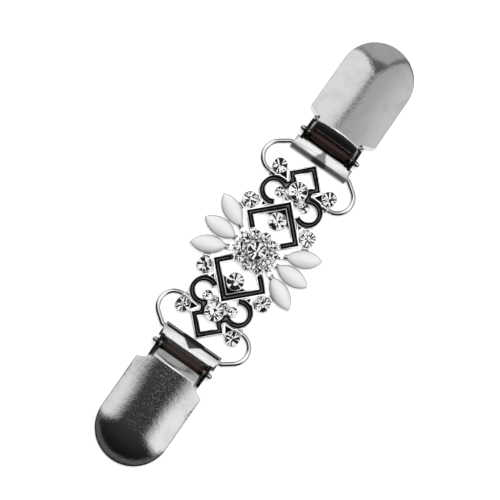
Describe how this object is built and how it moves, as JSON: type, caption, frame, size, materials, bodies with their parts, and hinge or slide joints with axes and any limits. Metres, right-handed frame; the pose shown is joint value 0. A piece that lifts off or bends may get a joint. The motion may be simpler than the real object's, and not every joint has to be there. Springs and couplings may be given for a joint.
{
  "type": "sweater clip",
  "caption": "Pierced silver-tone brooch with black enamel, cut stones and cat's-eye stones, with a hinged lever clip on a wire loop at each end to hold a cardigan closed.",
  "frame": {"origin": "on the surface that the piece lies on, under the middle of the brooch's flower", "axes": "+X along the piece to one clip, +Z out of the brooch's face, +Y across"},
  "size_m": [0.1312, 0.0326, 0.007],
  "materials": {
    "silver_metal": "cast silver-tone plate, polished, with fine pits and scratches",
    "black_enamel": "glossy black enamel, slightly dished",
    "white_stone": "polished white cat's-eye glass",
    "cut_glass": "faceted clear glass with a foil back",
    "clip_steel": "nickel-plated sheet steel, worn satin",
    "pin_steel": "nickel-plated pin with round heads",
    "cover_steel": "nickel-plated pressed sheet steel, finely grained",
    "jaw_rubber": "dark brown hard rubber"
  },
  "bodies": {
    "brooch": {"brooch_frame": "silver_metal", "enamel_square_right": "black_enamel", "enamel_corner_right": "black_enamel", "enamel_heart_right": "black_enamel", "enamel_square_left": "black_enamel", "enamel_corner_left": "black_enamel", "enamel_heart_left": "black_enamel", "enamel_triangle_right_upper": "black_enamel", "enamel_web_right_upper": "black_enamel", "enamel_triangle_right_lower": "black_enamel", "enamel_web_right_lower": "black_enamel", "enamel_triangle_left_upper": "black_enamel", "enamel_web_left_upper": "black_enamel", "enamel_triangle_left_lower": "black_enamel", "enamel_web_left_lower": "black_enamel", "long_stone_inner_upper": "white_stone", "long_stone_inner_lower": "white_stone", "long_stone_right_upper": "white_stone", "long_stone_right_lower": "white_stone", "long_stone_left_upper": "white_stone", "long_stone_left_lower": "white_stone", "heart_stone_right": "cut_glass", "heart_stone_left": "cut_glass", "square_stone_right": "cut_glass", "square_stone_left": "cut_glass", "side_stone_right_upper": "cut_glass", "side_stone_right_lower": "cut_glass", "side_stone_left_upper": "cut_glass", "side_stone_left_lower": "cut_glass", "outer_stone_right_upper": "cut_glass", "outer_stone_right_lower": "cut_glass", "outer_stone_left_upper": "cut_glass", "outer_stone_left_lower": "cut_glass", "lobe_stone_right_upper": "cut_glass", "lobe_stone_right_lower": "cut_glass", "lobe_stone_left_upper": "cut_glass", "lobe_stone_left_lower": "cut_glass", "flower_stone": "cut_glass", "ring_stone_1": "cut_glass", "ring_stone_2": "cut_glass", "ring_stone_3": "cut_glass", "ring_stone_4": "cut_glass", "ring_stone_5": "cut_glass", "ring_stone_6": "cut_glass", "ring_stone_7": "cut_glass", "ring_stone_8": "cut_glass", "ring_stone_9": "cut_glass", "ring_stone_10": "cut_glass"},
    "clip_right": {"clip_base_right": "clip_steel", "clip_pin_right": "pin_steel"},
    "clip_left": {"clip_base_left": "clip_steel", "clip_pin_left": "pin_steel"},
    "cover_right": {"clip_cover_right": "cover_steel", "jaw_pad_right": "jaw_rubber"},
    "cover_left": {"clip_cover_left": "cover_steel", "jaw_pad_left": "jaw_rubber"}
  },
  "joints": [
    {"name": "clip_swing_right", "type": "hinge", "parent": "brooch", "child": "clip_right", "pos_m": [0.02929, 0, 0.00147], "axis": [0, -1, 0], "range_deg": [-90, 60]},
    {"name": "cover_open_right", "type": "hinge", "parent": "clip_right", "child": "cover_right", "pos_m": [0.03369, 0, 0.0036], "axis": [0, -1, 0], "range_deg": [0, 90]},
    {"name": "clip_swing_left", "type": "hinge", "parent": "brooch", "child": "clip_left", "pos_m": [-0.02929, 0, 0.00147], "axis": [0, 1, 0], "range_deg": [-90, 60]},
    {"name": "cover_open_left", "type": "hinge", "parent": "clip_left", "child": "cover_left", "pos_m": [-0.03369, 0, 0.0036], "axis": [0, 1, 0], "range_deg": [0, 90]}
  ]
}
